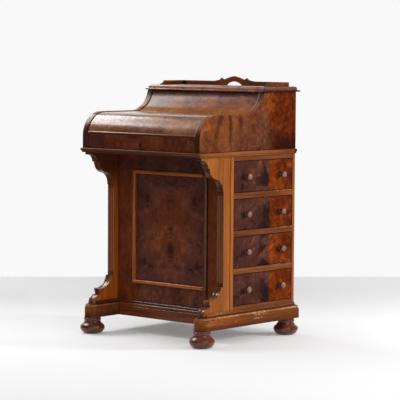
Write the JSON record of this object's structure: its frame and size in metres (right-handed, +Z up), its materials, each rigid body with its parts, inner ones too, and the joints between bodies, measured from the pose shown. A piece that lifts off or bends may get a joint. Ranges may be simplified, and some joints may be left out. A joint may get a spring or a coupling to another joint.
{
  "type": "davenport desk",
  "caption": "Walnut davenport desk: rolled lid over a pull-out writing slide, rising stationery top with pierced gallery, knee panel on scroll brackets, side drawers.",
  "frame": {"origin": "on the floor, in the middle of the four feet", "axes": "+X to the drawer side, +Y to the back, +Z up"},
  "size_m": [0.606, 0.5384, 0.9113],
  "materials": {
    "walnut_polished": "French polish",
    "walnut_figured": "French polish",
    "walnut_plain": "satin wax",
    "walnut_burr": "French polish",
    "walnut_turned": "French polish",
    "secondary_wood": "bare",
    "brass": "aged",
    "leather": "worn"
  },
  "bodies": {
    "carcass": {"base_moulding": "walnut_plain", "bun_feet": "walnut_turned", "case_back": "walnut_plain", "case_floor": "secondary_wood", "case_side_left": "walnut_figured", "case_side_right": "walnut_figured", "cove_board": "walnut_polished", "drawer_rails": "walnut_plain", "drawer_runners": "secondary_wood", "dummy_drawer_fronts": "walnut_burr", "dummy_drawer_knobs": "walnut_turned", "dummy_side_panel": "walnut_plain", "hinge_rail": "walnut_polished", "knee_frame": "walnut_plain", "knee_moulding": "walnut_plain", "knee_panel": "walnut_burr", "lid_hinge_fixed_leaves": "brass", "lower_brackets": "walnut_plain", "partition": "secondary_wood", "pedestal_back": "walnut_plain", "pedestal_floor": "secondary_wood", "pedestal_stiles": "walnut_plain", "pilasters": "walnut_plain", "plinth_arms": "walnut_plain", "plinth_rails": "walnut_plain", "slide_guides": "secondary_wood", "upper_brackets": "walnut_plain", "waist_moulding": "walnut_plain"},
    "lid": {"piano_lid": "walnut_polished", "lid_bead": "walnut_plain", "lid_hinge_moving_leaves": "brass"},
    "rising_top": {"top_board": "walnut_polished", "gallery_back": "walnut_plain", "gallery_sides": "walnut_plain", "stationery_case": "secondary_wood", "stationery_dividers": "secondary_wood"},
    "writing_slide": {"slide_fascia": "walnut_polished", "slide_tray": "secondary_wood", "ratchet_strip": "secondary_wood", "lid_lock": "brass", "keyhole_escutcheon": "brass", "flap_pivots": "brass"},
    "bolt": {"lock_bolt": "brass"},
    "flap": {"writing_flap": "walnut_plain", "writing_leather": "leather", "prop_lugs": "brass"},
    "prop": {"slope_prop": "secondary_wood"},
    "catch": {"rise_catch": "brass"},
    "drawer_1": {"drawer_1_front": "walnut_burr", "drawer_1_box": "secondary_wood", "drawer_1_knobs": "walnut_turned"},
    "drawer_2": {"drawer_2_front": "walnut_burr", "drawer_2_box": "secondary_wood", "drawer_2_knobs": "walnut_turned"},
    "drawer_3": {"drawer_3_front": "walnut_burr", "drawer_3_box": "secondary_wood", "drawer_3_knobs": "walnut_turned"},
    "drawer_4": {"drawer_4_front": "walnut_burr", "drawer_4_box": "secondary_wood", "drawer_4_knobs": "walnut_turned"}
  },
  "joints": [
    {"name": "lid_hinge", "type": "hinge", "parent": "carcass", "child": "lid", "pos_m": [0, -0.036, 0.784], "axis": [-1, 0, 0], "range_deg": [0, 105]},
    {"name": "top_rise", "type": "slide", "parent": "carcass", "child": "rising_top", "axis": [0, 0, 1], "range_m": [0, 0.15]},
    {"name": "writing_slide_pull", "type": "slide", "parent": "carcass", "child": "writing_slide", "axis": [0, -1, 0], "range_m": [0, 0.19]},
    {"name": "bolt_throw", "type": "slide", "parent": "writing_slide", "child": "bolt", "axis": [0, 0, 1], "range_m": [0, 0.008]},
    {"name": "flap_tilt", "type": "hinge", "parent": "writing_slide", "child": "flap", "pos_m": [0, -0.232, 0.6973], "axis": [1, 0, 0], "range_deg": [0, 15]},
    {"name": "prop_swing", "type": "hinge", "parent": "flap", "child": "prop", "pos_m": [0, -0.118, 0.6843], "axis": [-1, 0, 0], "range_deg": [0, 62]},
    {"name": "catch_throw", "type": "slide", "parent": "carcass", "child": "catch", "axis": [0, 1, 0], "range_m": [0, 0.0085]},
    {"name": "drawer_1_pull", "type": "slide", "parent": "carcass", "child": "drawer_1", "axis": [1, 0, 0], "range_m": [0, 0.32]},
    {"name": "drawer_2_pull", "type": "slide", "parent": "carcass", "child": "drawer_2", "axis": [1, 0, 0], "range_m": [0, 0.32]},
    {"name": "drawer_3_pull", "type": "slide", "parent": "carcass", "child": "drawer_3", "axis": [1, 0, 0], "range_m": [0, 0.32]},
    {"name": "drawer_4_pull", "type": "slide", "parent": "carcass", "child": "drawer_4", "axis": [1, 0, 0], "range_m": [0, 0.32]}
  ],
  "couplings": [
    {"joint": "prop_swing", "follows": "flap_tilt", "ratio": 4.1}
  ]
}
